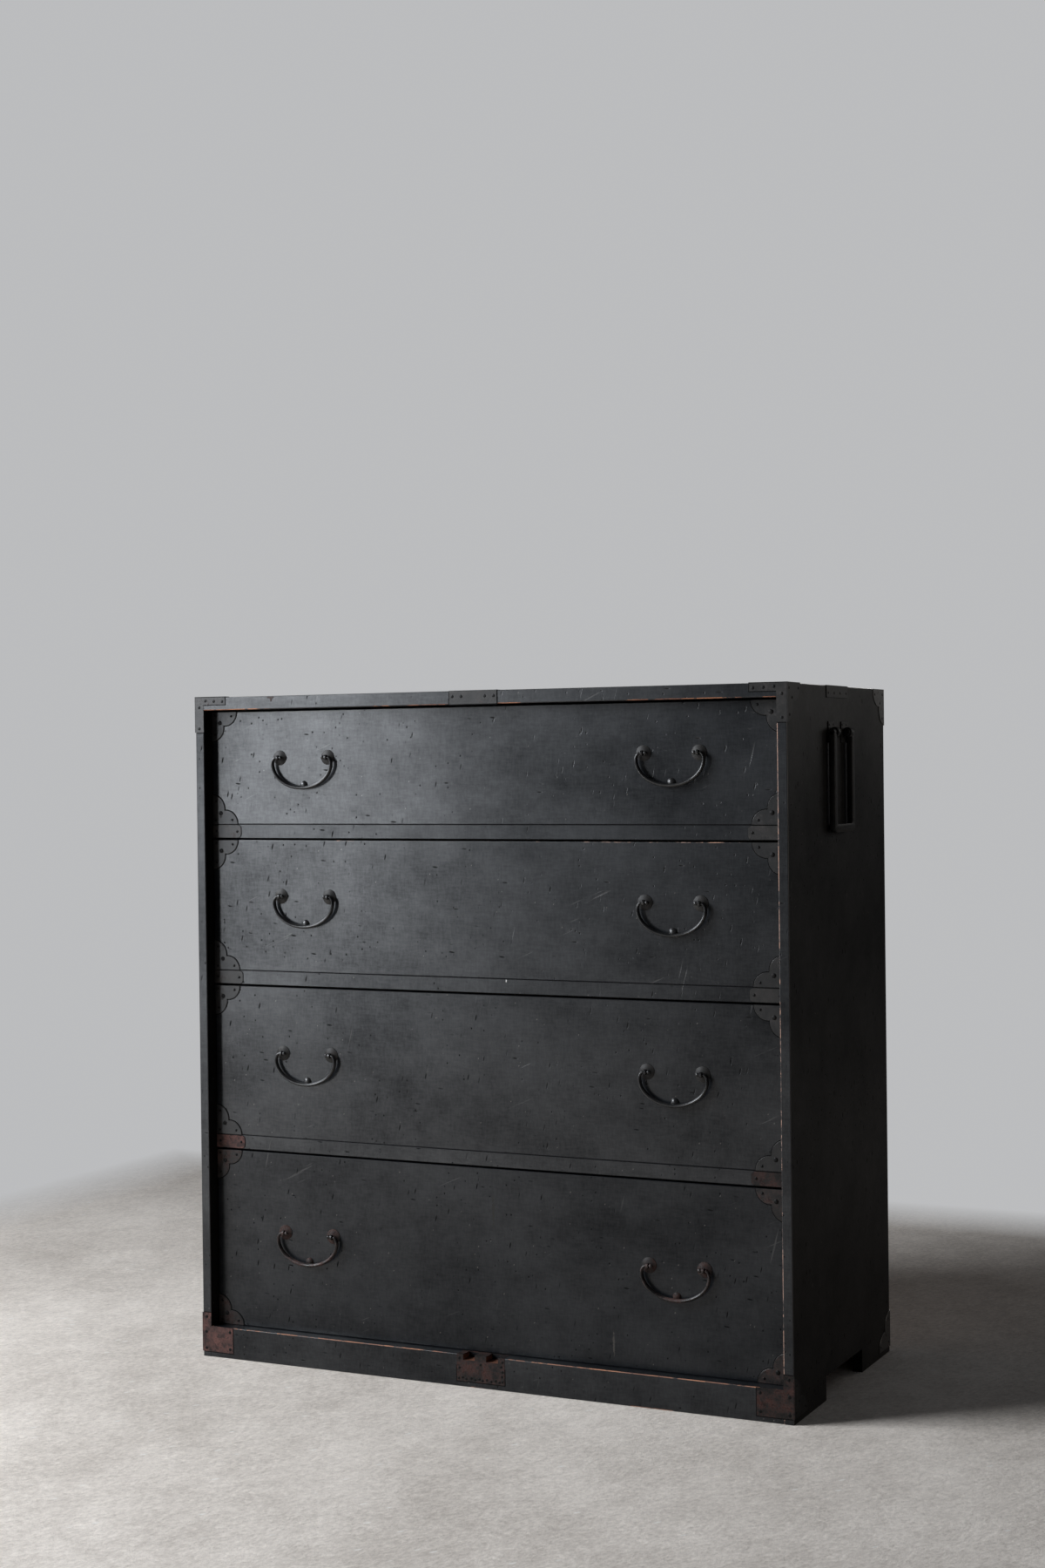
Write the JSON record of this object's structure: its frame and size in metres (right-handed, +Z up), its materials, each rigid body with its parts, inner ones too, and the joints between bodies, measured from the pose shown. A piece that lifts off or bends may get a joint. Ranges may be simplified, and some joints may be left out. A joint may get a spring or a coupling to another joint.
{
  "type": "isho clothing chest",
  "caption": "Black-lacquered wooden clothing chest with full-width drawers, forged bail handles, lobed iron corner plates and swinging carrying bails on the sides.",
  "frame": {"origin": "on the floor, under the middle of the chest", "axes": "+X to the right of someone facing the drawers, +Y to the back, +Z up; the drawers face -Y"},
  "size_m": [0.9722, 0.438, 1],
  "materials": {
    "lacquered_wood": "satin",
    "bare_wood": "matte",
    "iron": "satin"
  },
  "bodies": {
    "case": {"side_left": "lacquered_wood", "side_right": "lacquered_wood", "top_board": "lacquered_wood", "bottom_front_rail": "lacquered_wood", "bottom_rear_rail": "bare_wood", "bottom_board": "bare_wood", "divider_rails": "lacquered_wood", "shelves": "bare_wood", "drawer_stops": "bare_wood", "back_boards": "bare_wood", "front_corner_plates": "iron", "rear_corner_plates": "iron", "divider_end_plates": "iron", "top_front_plate": "iron", "lock_plate": "iron", "side_straps": "iron", "carrying_lugs": "iron"},
    "drawer_1": {"drawer_1_front": "lacquered_wood", "drawer_1_sides": "bare_wood", "drawer_1_back": "bare_wood", "drawer_1_bottom": "bare_wood", "drawer_1_corner_plates": "iron", "drawer_1_rosettes": "iron", "drawer_1_posts": "iron", "drawer_1_strikers": "iron"},
    "drawer_1_bail_left": {"drawer_1_bail_left": "iron"},
    "drawer_1_bail_right": {"drawer_1_bail_right": "iron"},
    "drawer_2": {"drawer_2_front": "lacquered_wood", "drawer_2_sides": "bare_wood", "drawer_2_back": "bare_wood", "drawer_2_bottom": "bare_wood", "drawer_2_corner_plates": "iron", "drawer_2_rosettes": "iron", "drawer_2_posts": "iron", "drawer_2_strikers": "iron"},
    "drawer_2_bail_left": {"drawer_2_bail_left": "iron"},
    "drawer_2_bail_right": {"drawer_2_bail_right": "iron"},
    "drawer_3": {"drawer_3_front": "lacquered_wood", "drawer_3_sides": "bare_wood", "drawer_3_back": "bare_wood", "drawer_3_bottom": "bare_wood", "drawer_3_corner_plates": "iron", "drawer_3_rosettes": "iron", "drawer_3_posts": "iron", "drawer_3_strikers": "iron"},
    "drawer_3_bail_left": {"drawer_3_bail_left": "iron"},
    "drawer_3_bail_right": {"drawer_3_bail_right": "iron"},
    "drawer_4": {"drawer_4_front": "lacquered_wood", "drawer_4_sides": "bare_wood", "drawer_4_back": "bare_wood", "drawer_4_bottom": "bare_wood", "drawer_4_corner_plates": "iron", "drawer_4_rosettes": "iron", "drawer_4_posts": "iron", "drawer_4_strikers": "iron"},
    "drawer_4_bail_left": {"drawer_4_bail_left": "iron"},
    "drawer_4_bail_right": {"drawer_4_bail_right": "iron"},
    "carrying_bail_left": {"carrying_bail_left": "iron"},
    "carrying_bail_right": {"carrying_bail_right": "iron"}
  },
  "joints": [
    {"name": "drawer_1_slide", "type": "slide", "parent": "case", "child": "drawer_1", "axis": [0, -1, 0], "range_m": [0, 0.32]},
    {"name": "drawer_1_bail_left_hinge", "type": "hinge", "parent": "drawer_1", "child": "drawer_1_bail_left", "pos_m": [-0.2955, -0.203, 0.9065], "axis": [-1, 0, 0], "range_deg": [0, 165]},
    {"name": "drawer_1_bail_right_hinge", "type": "hinge", "parent": "drawer_1", "child": "drawer_1_bail_right", "pos_m": [0.2955, -0.203, 0.9065], "axis": [-1, 0, 0], "range_deg": [0, 165]},
    {"name": "drawer_2_slide", "type": "slide", "parent": "case", "child": "drawer_2", "axis": [0, -1, 0], "range_m": [0, 0.32]},
    {"name": "drawer_2_bail_left_hinge", "type": "hinge", "parent": "drawer_2", "child": "drawer_2_bail_left", "pos_m": [-0.2955, -0.203, 0.6991], "axis": [-1, 0, 0], "range_deg": [0, 165]},
    {"name": "drawer_2_bail_right_hinge", "type": "hinge", "parent": "drawer_2", "child": "drawer_2_bail_right", "pos_m": [0.2955, -0.203, 0.6991], "axis": [-1, 0, 0], "range_deg": [0, 165]},
    {"name": "drawer_3_slide", "type": "slide", "parent": "case", "child": "drawer_3", "axis": [0, -1, 0], "range_m": [0, 0.32]},
    {"name": "drawer_3_bail_left_hinge", "type": "hinge", "parent": "drawer_3", "child": "drawer_3_bail_left", "pos_m": [-0.2955, -0.203, 0.4637], "axis": [-1, 0, 0], "range_deg": [0, 165]},
    {"name": "drawer_3_bail_right_hinge", "type": "hinge", "parent": "drawer_3", "child": "drawer_3_bail_right", "pos_m": [0.2955, -0.203, 0.4637], "axis": [-1, 0, 0], "range_deg": [0, 165]},
    {"name": "drawer_4_slide", "type": "slide", "parent": "case", "child": "drawer_4", "axis": [0, -1, 0], "range_m": [0, 0.32]},
    {"name": "drawer_4_bail_left_hinge", "type": "hinge", "parent": "drawer_4", "child": "drawer_4_bail_left", "pos_m": [-0.2955, -0.203, 0.19405], "axis": [-1, 0, 0], "range_deg": [0, 165]},
    {"name": "drawer_4_bail_right_hinge", "type": "hinge", "parent": "drawer_4", "child": "drawer_4_bail_right", "pos_m": [0.2955, -0.203, 0.19405], "axis": [-1, 0, 0], "range_deg": [0, 165]},
    {"name": "carrying_bail_left_hinge", "type": "hinge", "parent": "case", "child": "carrying_bail_left", "pos_m": [-0.479, -0.005, 0.9335], "axis": [0, 1, 0], "range_deg": [0, 180]},
    {"name": "carrying_bail_right_hinge", "type": "hinge", "parent": "case", "child": "carrying_bail_right", "pos_m": [0.479, -0.005, 0.9335], "axis": [0, -1, 0], "range_deg": [0, 180]}
  ]
}
